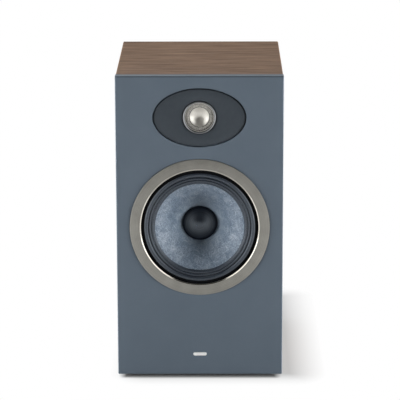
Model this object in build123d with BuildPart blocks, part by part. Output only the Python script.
"""Two-way bookshelf loudspeaker, taken apart the way it comes apart on a bench.

A mitred wood-grain box closed by a rebated front baffle and an inset back panel. The baffle carries a
bass driver under a wide trim ring and an inverted-dome tweeter under an oval faceplate. The back panel
carries a flared reflex port and a terminal plate with two screw-down binding posts.

Millimetres. +Z is up, the front looks along -Y, and the origin is on the floor below the middle of the
whole object. Depths into the box are counted from the baffle's front face.
"""

import math
import os

from build123d import *

os.makedirs("parts", exist_ok=True)

# Cabinet
baffle_width = 220.0
baffle_height = 408.0
cabinet_depth = 258.0
baffle_lip = 10.0
baffle_plug = 15.0
baffle_overhang = 0.7
baffle_edge_round = 1.5
wall = 15.0
back_thickness = 15.0
edge_chamfer = 1.0
panel_fit = 0.2
foot_height = 3.0
foot_radius = 8.0
foot_inset = 26.0
foot_edge = 1.0
badge_length = 18.0
badge_width = 4.4
badge_thickness = 1.0
badge_rise = 28.7
badge_edge = 0.4

# Bass driver, on its own axis
ring_radius = 92.5
ring_inner_radius = 77.4
ring_thickness = 3.8
ring_proud = 1.2
ring_inner_bevel = 1.0
ring_outer_bevel = 0.5
ring_relief = 1.4
ring_relief_radius = 82.0
rebate_clearance = 0.3
gasket_thickness = 1.2
flange_thickness = 3.2
basket_wall = 3.0
basket_rim_radius = 75.5
basket_hole_clearance = 1.0
rim_length = 10.0
ledge_depth = 31.4
ledge_thickness = 3.0
ledge_radius = 61.0
ledge_inner_radius = 46.0
pot_radius = 53.0
pot_length = 13.0
seat_inner_radius = 20.0
spokes = 6
spoke_width = 13.0
window_margin = 1.5
woofer_screw_count = 6
woofer_screw_circle_radius = 87.0
woofer_screw_start_angle = 30.0
woofer_screw_radius = 1.8
woofer_screw_head_radius = 3.6
woofer_screw_length = 18.0
screw_clearance = 0.15

surround_thickness = 1.0
surround_lip_radius = 81.2
roll_foot_radius = 75.3
roll_crown_radius = 70.6
roll_crown_rise = 2.5
groove_radius = 66.3
groove_rise = 0.4
bead_radius = 64.6
bead_rise = 1.0
cone_setback = 0.6
cone_lip_radius = 62.2
cone_edge_radius = 59.4
cone_depth = 24.5
cone_thickness = 1.0
glue_gap = 0.3
cap_radius = 23.3
cap_height = 8.5
cap_thickness = 0.8
coil_inner_radius = 16.3
former_wall = 0.3
winding_thickness = 0.9
winding_length = 14.0
winding_gap = 0.02
spider_thickness = 0.8
spider_waves = 4
spider_wave_height = 1.2
spider_collar = 1.5
spider_land = 10.0
top_plate_thickness = 6.0
top_plate_radius = 47.0
air_gap_outside = 0.6
air_gap_inside = 0.6
magnet_radius = 50.0
magnet_inner_radius = 24.0
magnet_thickness = 17.0
magnet_edge = 1.0
yoke_radius = 46.0
yoke_thickness = 6.0
pole_vent_radius = 5.0
tag_thickness = 1.6
tag_width = 26.0
tag_length = 15.0
tag_inset = 2.4
tab_width = 6.3
tab_thickness = 0.8
tab_length = 16.0
tab_spacing = 14.0

# Tweeter, on its own axis
tweeter_drop = 56.0
driver_spacing = 148.0
oval_width = 122.4
oval_height = 78.0
oval_clearance = 0.35
faceplate_setback = 0.8
faceplate_thickness = 3.0
faceplate_dish_width = 3.0
faceplate_dish_depth = 0.8
bezel_radius = 21.4
bezel_width = 1.8
bezel_proud = 0.6
bezel_edge = 0.4
bezel_clearance = 0.3
bezel_ledge = 1.0
bezel_ledge_thickness = 0.8
grille_thickness = 0.4
grille_pitch = 2.8
grille_web = 0.5
grille_rim = 0.9
grille_clearance = 0.15
chassis_radius = 36.0
chassis_thickness = 2.6
chassis_opening_radius = 17.8
chassis_ledge_radius = 15.6
chassis_ledge_thickness = 0.8
sleeve_radius = 29.0
sleeve_wall = 5.0
sleeve_length = 5.6
tweeter_hole_radius = 32.6
tweeter_gasket_thickness = 1.0
tweeter_screw_count = 4
tweeter_screw_circle_radius = 33.9
tweeter_screw_start_angle = 45.0
tweeter_screw_radius = 1.1
tweeter_screw_head_radius = 2.0
tweeter_screw_length = 14.0
suspension_thickness = 1.0
suspension_inner_radius = 12.9
dome_radius = 13.4
dome_rim = 1.0
dome_sag = 3.8
dome_thickness = 0.3
tweeter_coil_radius = 9.7
tweeter_former_wall = 0.15
tweeter_former_length = 8.4
tweeter_winding_thickness = 0.5
tweeter_winding_length = 4.0
tweeter_gap = 0.5
tweeter_plate_thickness = 3.0
tweeter_motor_radius = 28.0
tweeter_magnet_inner_radius = 13.0
tweeter_magnet_thickness = 10.0
tweeter_yoke_thickness = 4.0
tweeter_pole_rise = 1.0
tweeter_vent_radius = 3.0
rear_cup_depth = 17.0
rear_cup_wall = 2.0
tweeter_tab_radius = 30.2
tweeter_tab_width = 4.8
tweeter_tab_spacing = 12.0
tweeter_tab_length = 18.0

# Reflex port, in the upper back panel
port_drop = 66.0
port_radius = 25.0
port_wall = 2.5
port_length = 120.0
port_flare = 14.0
port_inner_flare = 8.0
port_flange_radius = 44.0
port_flange_thickness = 3.0
port_collar_radius = 35.5
port_collar_length = 13.0
port_clearance = 0.5

# Terminal plate and binding posts, in the lower back panel
terminal_rise = 100.0
plate_width = 112.0
plate_height = 66.0
plate_corner = 8.0
plate_thickness = 3.0
plate_edge = 1.0
cutout_width = 76.0
cutout_height = 38.0
cutout_corner = 6.0
plate_screw_spacing_x = 94.0
plate_screw_spacing_z = 48.0
plate_screw_radius = 1.7
plate_screw_head_radius = 3.4
plate_screw_head_height = 2.2
plate_screw_length = 14.0
post_spacing = 32.0
collar_radius = 8.5
collar_thickness = 2.0
stud_radius = 4.0
stud_length = 22.0
banana_radius = 2.05
banana_depth = 15.0
wire_hole_radius = 1.7
wire_hole_rise = 2.4
tail_radius = 3.0
tail_length = 12.0
tail_clearance = 0.1
nut_across_corners = 12.0
nut_thickness = 3.5
thread_clearance = 0.08
insert_wall = 2.0
insert_length = 11.0
insert_fit = 0.05
cap_knob_radius = 8.4
cap_knob_overrun = 1.2
cap_mouth_clearance = 0.5
cap_flutes = 12
cap_flute_radius = 1.2
cap_flute_depth = 0.5
cap_base_length = 3.0
cap_edge = 0.8

# Inside the box
brace_thickness = 12.0
brace_drop = 116.0
brace_window_width = 120.0
brace_window_depth = 120.0
brace_window_corner = 14.0
wadding_thickness = 12.0
wadding_height = 220.0
wadding_depth = 170.0
wadding_edge = 4.0
board_width = 124.0
board_depth = 92.0
board_thickness = 1.6
board_inset = 6.0
standoff_radius = 3.5
standoff_height = 8.0
bass_coil_radius = 24.0
bass_coil_height = 26.0
treble_coil_radius = 16.0
treble_coil_height = 18.0
coil_core_radius = 7.0
coil_edge = 2.0
capacitor_radius = 9.0
capacitor_length = 38.0
capacitor_edge = 1.5
resistor_width = 10.0
resistor_height = 9.0
resistor_length = 46.0
resistor_edge = 1.0
lead_radius = 1.2
lead_spacing = 6.0
lead_gap = 0.3
lead_bend = 16.0

# Places that follow from the sizes above
box_width = baffle_width - 2 * baffle_overhang
box_height = baffle_height - 2 * baffle_overhang
box_depth = cabinet_depth - baffle_lip
inner_width = box_width - 2 * wall
inner_height = box_height - 2 * wall
box_middle_z = foot_height + box_height / 2
baffle_bottom_z = foot_height - baffle_overhang
inner_floor_z = foot_height + wall
cap_length = stud_length - collar_thickness + cap_knob_overrun
post_reach = plate_thickness + collar_thickness + cap_length
overall_depth = ring_proud + cabinet_depth + post_reach
front_y = ring_proud - overall_depth / 2
back_y = front_y + cabinet_depth
inner_front_y = front_y + baffle_lip + baffle_plug
inner_back_y = back_y - back_thickness
baffle_top_z = baffle_bottom_z + baffle_height
tweeter_z = baffle_top_z - tweeter_drop
woofer_z = tweeter_z - driver_spacing
port_z = baffle_top_z - port_drop
terminal_z = baffle_bottom_z + terminal_rise
brace_z = baffle_top_z - brace_drop


def facing(y, x=0.0, z=0.0):
    """A plane that looks out of the front of the box, square to it."""
    return Plane((x, y, z), x_dir=(1, 0, 0), z_dir=(0, -1, 0))


def axis_at(z, x=0.0):
    """A front-to-back axis."""
    return Axis((x, 0, z), (0, 1, 0))


def section(z, outline, x=0.0):
    """Half the section of a turned piece, from (radius, y) corners about the axis at x, z."""
    with BuildSketch(Plane.XY.offset(z)) as drawn:
        with BuildLine():
            Polyline(*[(x + radius, y) for radius, y in outline], close=True)
        make_face()
    return drawn.sketch


def dish(radius, rim_radius, sag):
    """How far a spherical dish of that rim and sag lies from its rim plane at a radius."""
    sphere = (rim_radius**2 + sag**2) / (2 * sag)
    return math.sqrt(sphere**2 - radius**2) - (sphere - sag)


def save(builder, name):
    """Names a finished piece and writes it."""
    builder.part.label = name
    export_step(builder.part, f"parts/{name}.step")


# Box walls: four panels folded round from one board, mitred at the corners
def wall_panel(angle, length, reach):
    """A mitred panel whose outer face is reach from the middle of the box, turned about the box's axis."""
    across = (math.cos(math.radians(angle)), 0, math.sin(math.radians(angle)))
    origin = (0, front_y + baffle_lip, box_middle_z)
    half = length / 2
    with BuildPart() as panel:
        with BuildSketch(Plane(origin, x_dir=across, z_dir=(0, -1, 0))):
            with BuildLine():
                Polyline(
                    (wall - half, reach - wall),
                    (edge_chamfer / 2 - half, reach - edge_chamfer / 2),
                    (edge_chamfer - half, reach),
                    (half - edge_chamfer, reach),
                    (half - edge_chamfer / 2, reach - edge_chamfer / 2),
                    (half - wall, reach - wall),
                    close=True,
                )
            make_face()
        extrude(amount=-box_depth)
    return panel


save(wall_panel(0, box_width, box_height / 2), "top_panel")
save(wall_panel(180, box_width, box_height / 2), "bottom_panel")
save(wall_panel(90, box_height, box_width / 2), "left_panel")
save(wall_panel(-90, box_height, box_width / 2), "right_panel")

# Depths of the bass driver's stack, counted from the baffle's face
flange_front_y = front_y + ring_thickness - ring_proud
flange_back_y = flange_front_y + flange_thickness
rebate_y = flange_back_y + gasket_thickness
basket_hole_radius = basket_rim_radius + basket_hole_clearance

# Depths of the tweeter's stack
faceplate_y = front_y + faceplate_setback
chassis_y = faceplate_y + faceplate_thickness
chassis_back_y = chassis_y + chassis_thickness
tweeter_rebate_y = chassis_back_y + tweeter_gasket_thickness
bezel_inner_radius = bezel_radius - bezel_width

# Front baffle: one thick board, rebated all round so that its back plugs into the box
with BuildPart() as front_baffle:
    with BuildSketch(facing(front_y, z=baffle_bottom_z + baffle_height / 2)):
        RectangleRounded(baffle_width, baffle_height, baffle_edge_round)
    extrude(amount=-baffle_lip)
    fillet(front_baffle.faces().sort_by(Axis.Y)[0].edges(), radius=baffle_edge_round * 0.95)
    with BuildSketch(facing(front_y + baffle_lip, z=box_middle_z)):
        Rectangle(inner_width - 2 * panel_fit, inner_height - 2 * panel_fit)
    extrude(amount=-baffle_plug)
    with Locations(facing(front_y, z=woofer_z)):
        CounterBoreHole(
            radius=basket_hole_radius,
            counter_bore_radius=ring_radius + rebate_clearance,
            counter_bore_depth=rebate_y - front_y,
        )
    with BuildSketch(facing(front_y, z=tweeter_z)):
        Ellipse(oval_width / 2 + oval_clearance, oval_height / 2 + oval_clearance)
    extrude(amount=front_y - chassis_y, mode=Mode.SUBTRACT)
    with Locations(facing(chassis_y, z=tweeter_z)):
        CounterBoreHole(
            radius=tweeter_hole_radius,
            counter_bore_radius=chassis_radius + rebate_clearance,
            counter_bore_depth=tweeter_rebate_y - chassis_y,
        )
    with Locations(facing(rebate_y, z=woofer_z)):
        with PolarLocations(woofer_screw_circle_radius, woofer_screw_count, woofer_screw_start_angle):
            Hole(woofer_screw_radius + screw_clearance, depth=woofer_screw_length)
    with Locations(facing(tweeter_rebate_y, z=tweeter_z)):
        with PolarLocations(tweeter_screw_circle_radius, tweeter_screw_count, tweeter_screw_start_angle):
            Hole(tweeter_screw_radius + screw_clearance, depth=tweeter_screw_length)
save(front_baffle, "front_baffle")

# Back panel, set in flush between the walls
port_hole_radius = port_collar_radius + port_clearance
with BuildPart() as back_panel:
    with BuildSketch(facing(back_y, z=box_middle_z)):
        Rectangle(inner_width - 2 * panel_fit, inner_height - 2 * panel_fit)
    extrude(amount=back_thickness)
    with Locations(facing(inner_back_y, z=port_z)):
        Hole(port_hole_radius, depth=back_thickness)
    with BuildSketch(facing(back_y, z=terminal_z)):
        RectangleRounded(cutout_width, cutout_height, cutout_corner)
        with GridLocations(plate_screw_spacing_x, plate_screw_spacing_z, 2, 2):
            Circle(plate_screw_radius + screw_clearance)
    extrude(amount=back_thickness, mode=Mode.SUBTRACT)
save(back_panel, "back_panel")

# Shelf brace between the two drivers, with a window for air and wires
inner_depth = inner_back_y - inner_front_y
with BuildPart() as shelf_brace:
    with BuildSketch(Plane((0, (inner_front_y + inner_back_y) / 2, brace_z))):
        Rectangle(inner_width - 2 * panel_fit, inner_depth - 2 * panel_fit)
        RectangleRounded(brace_window_width, brace_window_depth, brace_window_corner, mode=Mode.SUBTRACT)
    extrude(amount=brace_thickness / 2, both=True)
save(shelf_brace, "shelf_brace")

# Wadding, a felt pad on each side wall below the brace
wadding_x = inner_width / 2 - wadding_thickness / 2
wadding_z = (inner_floor_z + brace_z - brace_thickness / 2) / 2
with BuildPart() as side_wadding:
    with Locations(
        *[
            (side * wadding_x, (inner_front_y + inner_back_y) / 2, wadding_z)
            for side in (-1, 1)
        ]
    ):
        Box(wadding_thickness, wadding_depth, wadding_height)
    fillet(side_wadding.edges().filter_by(Axis.X), radius=wadding_edge)
save(side_wadding, "side_wadding")

# Stick-on rubber feet
with BuildPart() as rubber_feet:
    with BuildSketch(Plane((0, front_y + cabinet_depth / 2, 0))):
        with GridLocations(box_width - 2 * foot_inset, cabinet_depth - 2 * foot_inset, 2, 2):
            Circle(foot_radius)
    extrude(amount=foot_height)
    chamfer(rubber_feet.faces().filter_by(Axis.Z).group_by(Axis.Z)[0].edges(), length=foot_edge)
save(rubber_feet, "rubber_feet")

# Plain metal badge, low on the baffle
with BuildPart() as front_badge:
    with BuildSketch(facing(front_y, z=baffle_bottom_z + badge_rise)):
        SlotOverall(badge_length, badge_width)
    extrude(amount=badge_thickness)
    fillet(front_badge.faces().sort_by(Axis.Y)[0].edges(), radius=badge_edge)
save(front_badge, "front_badge")

# Bass driver: trim ring over the basket's flange
ring_face_y = front_y - ring_proud
relief_y = flange_front_y - ring_relief
with BuildPart() as woofer_trim_ring:
    revolve(
        section(
            woofer_z,
            [
                (ring_inner_radius, ring_face_y + ring_inner_bevel),
                (ring_inner_radius + ring_inner_bevel, ring_face_y),
                (ring_radius - ring_outer_bevel, ring_face_y),
                (ring_radius, ring_face_y + ring_outer_bevel),
                (ring_radius, flange_front_y),
                (ring_relief_radius, flange_front_y),
                (ring_relief_radius, relief_y),
                (ring_inner_radius, relief_y),
            ],
        ),
        axis=axis_at(woofer_z),
    )
save(woofer_trim_ring, "woofer_trim_ring")

# Cast basket: flange, rim, spoked skirt, spider ledge, pot and motor seat in one casting
rim_inner_radius = basket_rim_radius - basket_wall
rim_back_y = flange_back_y + rim_length
ledge_y = flange_front_y + ledge_depth
ledge_back_y = ledge_y + ledge_thickness
seat_y = ledge_back_y + pot_length
plate_front_y = seat_y + basket_wall
pot_inner_radius = pot_radius - basket_wall
with BuildPart() as woofer_basket:
    revolve(
        section(
            woofer_z,
            [
                (rim_inner_radius, flange_front_y),
                (ring_radius, flange_front_y),
                (ring_radius, flange_back_y),
                (basket_rim_radius, flange_back_y),
                (basket_rim_radius, rim_back_y),
                (ledge_radius, ledge_y),
                (ledge_radius, ledge_back_y),
                (pot_radius, ledge_back_y),
                (pot_radius, plate_front_y),
                (seat_inner_radius, plate_front_y),
                (seat_inner_radius, seat_y),
                (pot_inner_radius, seat_y),
                (pot_inner_radius, ledge_back_y),
                (ledge_inner_radius, ledge_back_y),
                (ledge_inner_radius, ledge_y),
                (ledge_radius - basket_wall, ledge_y),
                (rim_inner_radius, rim_back_y),
            ],
        ),
        axis=axis_at(woofer_z),
    )
    with BuildSketch(facing(rim_back_y + window_margin, z=woofer_z)):
        Circle(basket_rim_radius)
        Circle(ledge_radius - basket_wall, mode=Mode.SUBTRACT)
        with PolarLocations(basket_rim_radius / 2, spokes):
            Rectangle(basket_rim_radius, spoke_width, mode=Mode.SUBTRACT)
    extrude(amount=rim_back_y - ledge_y + 2 * window_margin, mode=Mode.SUBTRACT)
    with Locations(facing(flange_front_y, z=woofer_z)):
        with PolarLocations(woofer_screw_circle_radius, woofer_screw_count, woofer_screw_start_angle):
            CounterSinkHole(
                woofer_screw_radius + screw_clearance,
                woofer_screw_head_radius + screw_clearance,
                depth=flange_thickness,
                counter_sink_angle=90,
            )
save(woofer_basket, "woofer_basket")

# Foam gasket between the flange and the baffle
with BuildPart() as woofer_gasket:
    with BuildSketch(facing(flange_back_y, z=woofer_z)):
        Circle(ring_radius)
        Circle(basket_hole_radius, mode=Mode.SUBTRACT)
        with PolarLocations(woofer_screw_circle_radius, woofer_screw_count, woofer_screw_start_angle):
            Circle(woofer_screw_radius + screw_clearance, mode=Mode.SUBTRACT)
    extrude(amount=-gasket_thickness)
save(woofer_gasket, "woofer_gasket")

# Countersunk screws that hold the basket, hidden by the trim ring
with BuildPart() as woofer_screws:
    with BuildSketch(facing(flange_front_y, z=woofer_z)):
        with PolarLocations(woofer_screw_circle_radius, woofer_screw_count, woofer_screw_start_angle):
            Circle(woofer_screw_radius)
    extrude(amount=-woofer_screw_length)
    with BuildSketch(facing(flange_front_y, z=woofer_z)):
        with PolarLocations(woofer_screw_circle_radius, woofer_screw_count, woofer_screw_start_angle):
            Circle(woofer_screw_head_radius)
    extrude(amount=woofer_screw_radius - woofer_screw_head_radius, taper=45)
save(woofer_screws, "woofer_screws")

# Rubber surround: glued lip, half roll, tuning bead and inner lip
lip_y = flange_front_y - surround_thickness
cone_y = flange_front_y + cone_setback
inner_lip_y = cone_y - surround_thickness
with BuildPart() as woofer_surround:
    with BuildSketch(Plane.XY.offset(woofer_z)):
        with BuildLine():
            Line((surround_lip_radius, lip_y), (roll_foot_radius, lip_y))
            ThreePointArc(
                (roll_foot_radius, lip_y),
                (roll_crown_radius, lip_y - roll_crown_rise),
                (groove_radius, lip_y - groove_rise),
            )
            ThreePointArc(
                (groove_radius, lip_y - groove_rise),
                (bead_radius, lip_y - bead_rise),
                (cone_lip_radius, inner_lip_y),
            )
            Line((cone_lip_radius, inner_lip_y), (cone_edge_radius, inner_lip_y))
            offset(amount=surround_thickness, side=Side.RIGHT)
        make_face()
    revolve(axis=axis_at(woofer_z))
save(woofer_surround, "woofer_surround")

# Cone, a thin fibre shell from its glued lip down to the neck on the coil former
former_radius = coil_inner_radius + former_wall
neck_radius = former_radius + glue_gap
cone_slope = cone_depth / (cone_edge_radius - neck_radius)
neck_y = cone_y + cone_depth
with BuildPart() as woofer_cone:
    revolve(
        section(
            woofer_z,
            [
                (cone_lip_radius, cone_y),
                (cone_edge_radius, cone_y),
                (neck_radius, neck_y),
                (neck_radius, neck_y + cone_thickness),
                (cone_edge_radius, cone_y + cone_thickness),
                (cone_lip_radius, cone_y + cone_thickness),
            ],
        ),
        axis=axis_at(woofer_z),
    )
save(woofer_cone, "woofer_cone")

# Dust cap, a shallow dome glued to the cone round the former
cap_rim_y = cone_y + (cone_edge_radius - cap_radius) * cone_slope - glue_gap
cap_inner_radius = cap_radius - cap_thickness
cap_inner_height = cap_height - cap_thickness
with BuildPart() as woofer_dust_cap:
    with BuildSketch(Plane.XY.offset(woofer_z)):
        with BuildLine():
            ThreePointArc(
                (cap_radius, cap_rim_y),
                (cap_radius / 2, cap_rim_y - dish(cap_radius / 2, cap_radius, cap_height)),
                (0, cap_rim_y - cap_height),
            )
            Line((0, cap_rim_y - cap_height), (0, cap_rim_y - cap_inner_height))
            ThreePointArc(
                (0, cap_rim_y - cap_inner_height),
                (
                    cap_inner_radius / 2,
                    cap_rim_y - dish(cap_inner_radius / 2, cap_inner_radius, cap_inner_height),
                ),
                (cap_inner_radius, cap_rim_y),
            )
            Line((cap_inner_radius, cap_rim_y), (cap_radius, cap_rim_y))
        make_face()
    revolve(axis=axis_at(woofer_z))
save(woofer_dust_cap, "woofer_dust_cap")

# Voice coil: thin former from the cone's neck into the magnet's gap, and its winding
coil_middle_y = plate_front_y + top_plate_thickness / 2
winding_front_y = coil_middle_y - winding_length / 2
winding_back_y = coil_middle_y + winding_length / 2
with BuildPart() as woofer_coil_former:
    with BuildSketch(facing(neck_y, z=woofer_z)):
        Circle(former_radius)
        Circle(coil_inner_radius, mode=Mode.SUBTRACT)
    extrude(amount=neck_y - winding_back_y)
save(woofer_coil_former, "woofer_coil_former")

winding_radius = former_radius + winding_thickness
with BuildPart() as woofer_coil_winding:
    with BuildSketch(facing(winding_front_y, z=woofer_z)):
        Circle(winding_radius)
        Circle(former_radius + winding_gap, mode=Mode.SUBTRACT)
    extrude(amount=-winding_length)
save(woofer_coil_winding, "woofer_coil_winding")

# Spider, a corrugated cloth disc from the former to the basket's ledge
spider_inner_radius = former_radius + glue_gap
spider_wave_start = spider_inner_radius + spider_collar
spider_outer_radius = ledge_inner_radius + spider_land
fold_width = (ledge_inner_radius - spider_wave_start) / (2 * spider_waves)
with BuildPart() as woofer_spider:
    with BuildSketch(Plane.XY.offset(woofer_z)):
        with BuildLine():
            for y in (ledge_y - spider_thickness, ledge_y):
                Polyline(
                    (spider_inner_radius, y),
                    (spider_wave_start, y),
                    *[
                        (spider_wave_start + (fold + 0.5) * fold_width, y + spider_wave_height * (-1) ** fold)
                        for fold in range(2 * spider_waves)
                    ],
                    (ledge_inner_radius, y),
                    (spider_outer_radius, y),
                )
            for radius in (spider_inner_radius, spider_outer_radius):
                Line((radius, ledge_y - spider_thickness), (radius, ledge_y))
        make_face()
    revolve(axis=axis_at(woofer_z))
save(woofer_spider, "woofer_spider")

# Motor: top plate, ferrite ring, and back plate with the pole in one turned yoke
magnet_front_y = plate_front_y + top_plate_thickness
magnet_back_y = magnet_front_y + magnet_thickness
with BuildPart() as woofer_top_plate:
    with BuildSketch(facing(plate_front_y, z=woofer_z)):
        Circle(top_plate_radius)
        Circle(winding_radius + air_gap_outside, mode=Mode.SUBTRACT)
    extrude(amount=-top_plate_thickness)
save(woofer_top_plate, "woofer_top_plate")

with BuildPart() as woofer_magnet:
    with BuildSketch(facing(magnet_front_y, z=woofer_z)):
        Circle(magnet_radius)
        Circle(magnet_inner_radius, mode=Mode.SUBTRACT)
    extrude(amount=-magnet_thickness)
    chamfer(woofer_magnet.edges().filter_by(GeomType.CIRCLE), length=magnet_edge)
save(woofer_magnet, "woofer_magnet")

with BuildPart() as woofer_yoke:
    revolve(
        section(
            woofer_z,
            [
                (pole_vent_radius, plate_front_y),
                (coil_inner_radius - air_gap_inside, plate_front_y),
                (coil_inner_radius - air_gap_inside, magnet_back_y),
                (yoke_radius, magnet_back_y),
                (yoke_radius, magnet_back_y + yoke_thickness),
                (pole_vent_radius, magnet_back_y + yoke_thickness),
            ],
        ),
        axis=axis_at(woofer_z),
    )
save(woofer_yoke, "woofer_yoke")

# Tag strip on the back of the ledge, and its two blade tabs
tag_z = woofer_z - ledge_radius + tag_inset
with BuildPart() as woofer_tag_strip:
    with Locations((0, ledge_back_y + tag_length / 2, tag_z)):
        Box(tag_width, tag_length, tag_thickness)
save(woofer_tag_strip, "woofer_tag_strip")

tab_z = tag_z - (tag_thickness + tab_thickness) / 2
tab_front_y = ledge_back_y + tag_length - tab_length / 2
with BuildPart() as woofer_tabs:
    with Locations(*[(side * tab_spacing / 2, tab_front_y + tab_length / 2, tab_z) for side in (-1, 1)]):
        Box(tab_width, tab_length, tab_thickness)
save(woofer_tabs, "woofer_tabs")


# Tweeter: oval faceplate with a shallow dish round its opening
opening_radius = bezel_radius + bezel_clearance
with BuildPart() as tweeter_faceplate:
    with BuildSketch(facing(faceplate_y, z=tweeter_z)):
        Ellipse(oval_width / 2, oval_height / 2)
        Circle(opening_radius, mode=Mode.SUBTRACT)
    extrude(amount=-faceplate_thickness)
    revolve(
        section(
            tweeter_z,
            [
                (0, faceplate_y),
                (opening_radius + faceplate_dish_width, faceplate_y),
                (opening_radius, faceplate_y + faceplate_dish_depth),
                (0, faceplate_y + faceplate_dish_depth),
            ],
        ),
        axis=axis_at(tweeter_z),
        mode=Mode.SUBTRACT,
    )
save(tweeter_faceplate, "tweeter_faceplate")

# Bright bezel, with a ledge inside that carries the protective grille
bezel_front_y = faceplate_y - bezel_proud
ledge_front_y = chassis_y - bezel_ledge_thickness
with BuildPart() as tweeter_bezel:
    revolve(
        section(
            tweeter_z,
            [
                (bezel_inner_radius, bezel_front_y + bezel_edge),
                (bezel_inner_radius + bezel_edge, bezel_front_y),
                (bezel_radius - bezel_edge, bezel_front_y),
                (bezel_radius, bezel_front_y + bezel_edge),
                (bezel_radius, chassis_y),
                (bezel_inner_radius - bezel_ledge, chassis_y),
                (bezel_inner_radius - bezel_ledge, ledge_front_y),
                (bezel_inner_radius, ledge_front_y),
            ],
        ),
        axis=axis_at(tweeter_z),
    )
save(tweeter_bezel, "tweeter_bezel")

# Perforated grille: one thin disc with a close pattern of six-sided holes
grille_radius = bezel_inner_radius - grille_clearance
grille_hole_radius = (grille_pitch - grille_web) / math.sqrt(3)
hole_field_radius = grille_radius - grille_rim - grille_hole_radius
rows = math.ceil(hole_field_radius / grille_pitch) + 1
row_pitch = grille_pitch * math.sqrt(3) / 2
hole_places = [
    ((column + row % 2 / 2) * grille_pitch, row * row_pitch)
    for row in range(-rows - 1, rows + 2)
    for column in range(-rows - 1, rows + 2)
    if math.hypot((column + row % 2 / 2) * grille_pitch, row * row_pitch) <= hole_field_radius
]
with BuildPart() as tweeter_grille:
    with BuildSketch(facing(ledge_front_y, z=tweeter_z)):
        Circle(grille_radius)
        with Locations(*hole_places):
            RegularPolygon(grille_hole_radius, 6, rotation=30, mode=Mode.SUBTRACT)
    extrude(amount=grille_thickness)
save(tweeter_grille, "tweeter_grille")

# Chassis: screwed flange, ledge for the suspension, and a sleeve down to the motor
suspension_seat_y = chassis_back_y - chassis_ledge_thickness
motor_y = chassis_back_y + sleeve_length
with BuildPart() as tweeter_chassis:
    revolve(
        section(
            tweeter_z,
            [
                (chassis_opening_radius, chassis_y),
                (chassis_radius, chassis_y),
                (chassis_radius, chassis_back_y),
                (sleeve_radius, chassis_back_y),
                (sleeve_radius, motor_y),
                (sleeve_radius - sleeve_wall, motor_y),
                (sleeve_radius - sleeve_wall, chassis_back_y),
                (chassis_ledge_radius, chassis_back_y),
                (chassis_ledge_radius, suspension_seat_y),
                (chassis_opening_radius, suspension_seat_y),
            ],
        ),
        axis=axis_at(tweeter_z),
    )
    with Locations(facing(chassis_y, z=tweeter_z)):
        with PolarLocations(tweeter_screw_circle_radius, tweeter_screw_count, tweeter_screw_start_angle):
            CounterSinkHole(
                tweeter_screw_radius + screw_clearance,
                tweeter_screw_head_radius + screw_clearance,
                depth=chassis_thickness,
                counter_sink_angle=90,
            )
save(tweeter_chassis, "tweeter_chassis")

with BuildPart() as tweeter_gasket:
    with BuildSketch(facing(chassis_back_y, z=tweeter_z)):
        Circle(chassis_radius)
        Circle(tweeter_hole_radius, mode=Mode.SUBTRACT)
        with PolarLocations(tweeter_screw_circle_radius, tweeter_screw_count, tweeter_screw_start_angle):
            Circle(tweeter_screw_radius + screw_clearance, mode=Mode.SUBTRACT)
    extrude(amount=-tweeter_gasket_thickness)
save(tweeter_gasket, "tweeter_gasket")

with BuildPart() as tweeter_screws:
    with BuildSketch(facing(chassis_y, z=tweeter_z)):
        with PolarLocations(tweeter_screw_circle_radius, tweeter_screw_count, tweeter_screw_start_angle):
            Circle(tweeter_screw_radius)
    extrude(amount=-tweeter_screw_length)
    with BuildSketch(facing(chassis_y, z=tweeter_z)):
        with PolarLocations(tweeter_screw_circle_radius, tweeter_screw_count, tweeter_screw_start_angle):
            Circle(tweeter_screw_head_radius)
    extrude(amount=tweeter_screw_radius - tweeter_screw_head_radius, taper=45)
save(tweeter_screws, "tweeter_screws")

# Foam suspension ring in front of the dome's rim
with BuildPart() as tweeter_suspension:
    with BuildSketch(facing(suspension_seat_y, z=tweeter_z)):
        Circle(chassis_opening_radius - glue_gap)
        Circle(suspension_inner_radius, mode=Mode.SUBTRACT)
    extrude(amount=suspension_thickness)
save(tweeter_suspension, "tweeter_suspension")

# Inverted dome: a flat rim glued behind the suspension, and a hollow that faces the listener
dish_radius = dome_radius - dome_rim
with BuildPart() as tweeter_dome:
    with BuildSketch(Plane.XY.offset(tweeter_z)):
        with BuildLine():
            Line((dome_radius, suspension_seat_y), (dish_radius, suspension_seat_y))
            ThreePointArc(
                (dish_radius, suspension_seat_y),
                (dish_radius / 2, suspension_seat_y + dish(dish_radius / 2, dish_radius, dome_sag)),
                (0, suspension_seat_y + dome_sag),
            )
            offset(amount=dome_thickness, side=Side.RIGHT)
        make_face()
    revolve(axis=axis_at(tweeter_z))
save(tweeter_dome, "tweeter_dome")

# Tweeter voice coil, glued to the back of the dome part way out
tweeter_former_radius = tweeter_coil_radius + tweeter_former_wall
dome_back_y = suspension_seat_y + dish(tweeter_coil_radius, dish_radius, dome_sag) + dome_thickness
former_front_y = dome_back_y + 2 * tweeter_former_wall
with BuildPart() as tweeter_coil_former:
    with BuildSketch(facing(former_front_y, z=tweeter_z)):
        Circle(tweeter_former_radius)
        Circle(tweeter_coil_radius, mode=Mode.SUBTRACT)
    extrude(amount=-tweeter_former_length)
save(tweeter_coil_former, "tweeter_coil_former")

tweeter_winding_y = motor_y + (tweeter_plate_thickness - tweeter_winding_length) / 2
tweeter_winding_radius = tweeter_former_radius + tweeter_winding_thickness
with BuildPart() as tweeter_coil_winding:
    with BuildSketch(facing(tweeter_winding_y, z=tweeter_z)):
        Circle(tweeter_winding_radius)
        Circle(tweeter_former_radius + winding_gap, mode=Mode.SUBTRACT)
    extrude(amount=-tweeter_winding_length)
save(tweeter_coil_winding, "tweeter_coil_winding")

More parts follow.
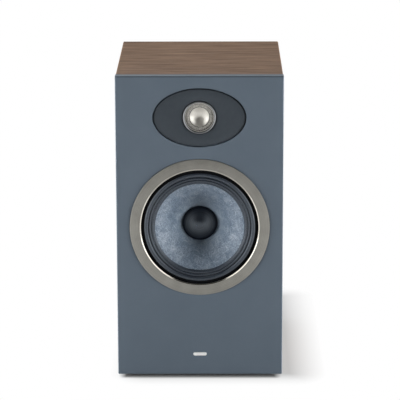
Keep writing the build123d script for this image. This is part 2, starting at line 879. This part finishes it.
# Tweeter motor and the damped cup behind it
tweeter_magnet_y = motor_y + tweeter_plate_thickness
tweeter_yoke_y = tweeter_magnet_y + tweeter_magnet_thickness
rear_cup_y = tweeter_yoke_y + tweeter_yoke_thickness
with BuildPart() as tweeter_front_plate:
    with BuildSketch(facing(motor_y, z=tweeter_z)):
        Circle(tweeter_motor_radius)
        Circle(tweeter_winding_radius + tweeter_gap, mode=Mode.SUBTRACT)
    extrude(amount=-tweeter_plate_thickness)
save(tweeter_front_plate, "tweeter_front_plate")

with BuildPart() as tweeter_magnet:
    with BuildSketch(facing(tweeter_magnet_y, z=tweeter_z)):
        Circle(tweeter_motor_radius)
        Circle(tweeter_magnet_inner_radius, mode=Mode.SUBTRACT)
    extrude(amount=-tweeter_magnet_thickness)
save(tweeter_magnet, "tweeter_magnet")

pole_radius = tweeter_coil_radius - tweeter_gap
with BuildPart() as tweeter_yoke:
    revolve(
        section(
            tweeter_z,
            [
                (tweeter_vent_radius, motor_y - tweeter_pole_rise),
                (pole_radius, motor_y - tweeter_pole_rise),
                (pole_radius, tweeter_yoke_y),
                (tweeter_motor_radius, tweeter_yoke_y),
                (tweeter_motor_radius, rear_cup_y),
                (tweeter_vent_radius, rear_cup_y),
            ],
        ),
        axis=axis_at(tweeter_z),
    )
save(tweeter_yoke, "tweeter_yoke")

cup_inner_radius = tweeter_motor_radius - rear_cup_wall
with BuildPart() as tweeter_rear_cup:
    revolve(
        section(
            tweeter_z,
            [
                (cup_inner_radius, rear_cup_y),
                (tweeter_motor_radius, rear_cup_y),
                (tweeter_motor_radius, rear_cup_y + rear_cup_depth - rear_cup_wall),
                (cup_inner_radius, rear_cup_y + rear_cup_depth),
                (0, rear_cup_y + rear_cup_depth),
                (0, rear_cup_y + rear_cup_depth - rear_cup_wall),
                (cup_inner_radius, rear_cup_y + rear_cup_depth - rear_cup_wall),
            ],
        ),
        axis=axis_at(tweeter_z),
    )
save(tweeter_rear_cup, "tweeter_rear_cup")

tweeter_tab_z = tweeter_z - tweeter_tab_radius - tab_thickness / 2
with BuildPart() as tweeter_tabs:
    with Locations(
        *[
            (side * tweeter_tab_spacing / 2, chassis_back_y + tweeter_tab_length / 2, tweeter_tab_z)
            for side in (-1, 1)
        ]
    ):
        Box(tweeter_tab_width, tweeter_tab_length, tab_thickness)
save(tweeter_tabs, "tweeter_tabs")

# Reflex port: flange on the back panel, flared mouth, straight duct, and a small flare inside
mouth_y = back_y + port_flange_thickness
port_end_y = mouth_y - port_length
tube_radius = port_radius + port_wall
arc_share = math.sqrt(0.5)
with BuildPart() as port_tube:
    with BuildSketch(Plane.XY.offset(port_z)):
        with BuildLine():
            ThreePointArc(
                (port_radius + port_flare, mouth_y),
                (port_radius + port_flare * (1 - arc_share), mouth_y - port_flare * (1 - arc_share)),
                (port_radius, mouth_y - port_flare),
            )
            Line((port_radius, mouth_y - port_flare), (port_radius, port_end_y + port_inner_flare))
            ThreePointArc(
                (port_radius, port_end_y + port_inner_flare),
                (
                    port_radius + port_inner_flare * (1 - arc_share),
                    port_end_y + port_inner_flare * (1 - arc_share),
                ),
                (port_radius + port_inner_flare, port_end_y),
            )
            Polyline(
                (port_radius + port_inner_flare, port_end_y),
                (port_radius + port_inner_flare, port_end_y + port_wall),
                (tube_radius, port_end_y + port_inner_flare + port_wall),
                (tube_radius, back_y - port_collar_length),
                (port_collar_radius, back_y - port_collar_length),
                (port_collar_radius, back_y),
                (port_flange_radius, back_y),
                (port_flange_radius, mouth_y),
                (port_radius + port_flare, mouth_y),
            )
        make_face()
    revolve(axis=axis_at(port_z))
save(port_tube, "port_tube")

# Terminal plate, screwed over the cut-out in the back panel
plate_face_y = back_y + plate_thickness
with BuildPart() as terminal_plate:
    with BuildSketch(facing(back_y, z=terminal_z)):
        RectangleRounded(plate_width, plate_height, plate_corner)
    extrude(amount=-plate_thickness)
    fillet(terminal_plate.faces().sort_by(Axis.Y)[-1].edges(), radius=plate_edge)
    with BuildSketch(facing(back_y, z=terminal_z)):
        with GridLocations(plate_screw_spacing_x, plate_screw_spacing_z, 2, 2):
            Circle(plate_screw_radius + screw_clearance)
        with GridLocations(post_spacing, 0, 2, 1):
            Circle(tail_radius + tail_clearance)
    extrude(amount=-plate_thickness, mode=Mode.SUBTRACT)
save(terminal_plate, "terminal_plate")

with BuildPart() as terminal_screws:
    with BuildSketch(facing(plate_face_y, z=terminal_z)):
        with GridLocations(plate_screw_spacing_x, plate_screw_spacing_z, 2, 2):
            Circle(plate_screw_radius)
    extrude(amount=plate_screw_length)
    with BuildSketch(facing(plate_face_y, z=terminal_z)):
        with GridLocations(plate_screw_spacing_x, plate_screw_spacing_z, 2, 2):
            Circle(plate_screw_head_radius)
    extrude(amount=-plate_screw_head_height, taper=20)
save(terminal_screws, "terminal_screws")

# Binding posts: a drilled stud through the plate, and a screw-down cap on a brass insert
collar_y = plate_face_y + collar_thickness
stud_end_y = plate_face_y + stud_length
insert_inner_radius = stud_radius + thread_clearance
insert_radius = insert_inner_radius + insert_wall
tail_end_y = back_y - tail_length
for name, side in (("red", -1), ("black", 1)):
    post_x = side * post_spacing / 2
    with BuildPart() as post:
        revolve(
            section(
                terminal_z,
                [
                    (0, tail_end_y),
                    (tail_radius, tail_end_y),
                    (tail_radius, plate_face_y),
                    (collar_radius, plate_face_y),
                    (collar_radius, collar_y),
                    (stud_radius, collar_y),
                    (stud_radius, stud_end_y),
                    (banana_radius, stud_end_y),
                    (banana_radius, stud_end_y - banana_depth),
                    (0, stud_end_y - banana_depth),
                ],
                x=post_x,
            ),
            axis=axis_at(terminal_z, post_x),
        )
        with Locations((post_x, collar_y + wire_hole_rise, terminal_z)):
            Cylinder(wire_hole_radius, 3 * stud_radius, mode=Mode.SUBTRACT)
    save(post, f"{name}_post")

    with BuildPart() as cap_insert:
        with BuildSketch(facing(collar_y, x=post_x, z=terminal_z)):
            Circle(insert_radius)
            Circle(insert_inner_radius, mode=Mode.SUBTRACT)
        extrude(amount=-insert_length)
    save(cap_insert, f"{name}_cap_insert")

    with BuildPart() as cap:
        with BuildSketch(facing(collar_y, x=post_x, z=terminal_z)):
            Circle(cap_knob_radius)
            Circle(insert_inner_radius + cap_mouth_clearance, mode=Mode.SUBTRACT)
        extrude(amount=-cap_length)
        with BuildSketch(facing(collar_y, x=post_x, z=terminal_z)):
            Circle(insert_radius + insert_fit)
        extrude(amount=-insert_length - insert_fit, mode=Mode.SUBTRACT)
        chamfer(cap.faces().sort_by(Axis.Y)[-1].edges(), length=cap_edge)
        with BuildSketch(facing(collar_y + cap_base_length, x=post_x, z=terminal_z)):
            with PolarLocations(cap_knob_radius + cap_flute_radius - cap_flute_depth, cap_flutes):
                Circle(cap_flute_radius)
        extrude(amount=-cap_length, mode=Mode.SUBTRACT)
    save(cap, f"{name}_cap")

with BuildPart() as post_nuts:
    with BuildSketch(facing(back_y, z=terminal_z)):
        with GridLocations(post_spacing, 0, 2, 1):
            RegularPolygon(nut_across_corners / 2, 6)
            Circle(tail_radius + tail_clearance, mode=Mode.SUBTRACT)
    extrude(amount=nut_thickness)
save(post_nuts, "post_nuts")

# Crossover: a board on standoffs on the floor of the box, with its coils, capacitors and resistors
board_z = inner_floor_z + standoff_height
board_top_z = board_z + board_thickness
standoff_spacing_x = board_width - 2 * board_inset
standoff_spacing_y = board_depth - 2 * board_inset
with BuildPart() as crossover_board:
    with BuildSketch(Plane.XY.offset(board_z)):
        RectangleRounded(board_width, board_depth, board_inset / 2)
        with GridLocations(standoff_spacing_x, standoff_spacing_y, 2, 2):
            Circle(standoff_radius / 2 + screw_clearance, mode=Mode.SUBTRACT)
    extrude(amount=board_thickness)
save(crossover_board, "crossover_board")

with BuildPart() as board_standoffs:
    with BuildSketch(Plane.XY.offset(inner_floor_z)):
        with GridLocations(standoff_spacing_x, standoff_spacing_y, 2, 2):
            Circle(standoff_radius)
    extrude(amount=standoff_height)
    with BuildSketch(Plane.XY.offset(board_z)):
        with GridLocations(standoff_spacing_x, standoff_spacing_y, 2, 2):
            Circle(standoff_radius / 2)
    extrude(amount=2 * board_thickness)
save(board_standoffs, "board_standoffs")

coil_gap = board_inset / 2
bass_coil_x = -board_width / 2 + board_inset + standoff_radius + bass_coil_radius
treble_coil_x = bass_coil_x + bass_coil_radius + coil_gap + treble_coil_radius
with BuildPart() as crossover_coils:
    for coil_x, coil_radius, coil_height in (
        (bass_coil_x, bass_coil_radius, bass_coil_height),
        (treble_coil_x, treble_coil_radius, treble_coil_height),
    ):
        with BuildSketch(Plane((coil_x, -coil_gap, board_top_z))):
            Circle(coil_radius)
            Circle(coil_core_radius, mode=Mode.SUBTRACT)
        extrude(amount=coil_height)
    chamfer(crossover_coils.edges().filter_by(GeomType.CIRCLE), length=coil_edge)
save(crossover_coils, "crossover_coils")

capacitor_x = treble_coil_x + treble_coil_radius + coil_gap + capacitor_radius
capacitor_z = board_top_z + capacitor_radius
with BuildPart() as film_capacitors:
    for row in (0, 1):
        row_x = capacitor_x + row * (2 * capacitor_radius + coil_gap)
        with BuildSketch(facing(capacitor_length / 2, x=row_x, z=capacitor_z)):
            Circle(capacitor_radius)
        extrude(amount=capacitor_length)
    chamfer(film_capacitors.edges().filter_by(GeomType.CIRCLE), length=capacitor_edge)
save(film_capacitors, "film_capacitors")

resistor_y = board_depth / 2 - board_inset - resistor_width / 2
with BuildPart() as power_resistors:
    with Locations(
        *[
            (side * (resistor_length + coil_gap) / 2, resistor_y, board_top_z + resistor_height / 2)
            for side in (-1, 1)
        ]
    ):
        Box(resistor_length, resistor_width, resistor_height)
    chamfer(power_resistors.edges().filter_by(Axis.X), length=resistor_edge)
save(power_resistors, "power_resistors")

# Wiring, a pair of wires from the posts to the board and from the board to each driver
def lead(points, radius, bend):
    """One insulated wire along straight runs joined by tangent bends."""
    with BuildPart() as wire:
        with BuildLine() as route:
            FilletPolyline(*points, radius=bend)
        with BuildSketch(Plane(route.line @ 0, z_dir=route.line % 0)):
            Circle(radius)
        sweep(path=route.line)
    return wire.part


with BuildPart() as input_leads:
    for side in (-1, 1):
        lead_x = side * post_spacing / 2
        foot_y = board_depth / 2 - board_inset + lead_radius
        add(
            lead(
                [
                    (lead_x, tail_end_y - lead_gap, terminal_z),
                    (lead_x, foot_y, terminal_z),
                    (lead_x, foot_y, board_top_z + lead_gap),
                ],
                lead_radius,
                lead_bend,
            )
        )
save(input_leads, "input_leads")

with BuildPart() as woofer_leads:
    for side in (-1, 1):
        lead_x = side * tab_spacing / 2
        foot_y = -board_depth / 2 + board_inset
        add(
            lead(
                [
                    (lead_x, tab_front_y + tab_length + lead_gap, tab_z),
                    (lead_x, foot_y, tab_z),
                    (lead_x, foot_y, board_top_z + lead_gap),
                ],
                lead_radius,
                lead_bend,
            )
        )
save(woofer_leads, "woofer_leads")

with BuildPart() as tweeter_leads:
    for side in (-1, 1):
        lead_x = side * tweeter_tab_spacing / 2
        foot_y = -board_depth / 2 + board_inset + lead_spacing
        add(
            lead(
                [
                    (lead_x, chassis_back_y + tweeter_tab_length + lead_gap, tweeter_tab_z),
                    (lead_x, foot_y, tweeter_tab_z),
                    (lead_x, foot_y, board_top_z + lead_gap),
                ],
                lead_radius,
                lead_bend,
            )
        )
save(tweeter_leads, "tweeter_leads")

print("overall", baffle_width, "x", overall_depth, "x", foot_height + box_height + baffle_overhang)
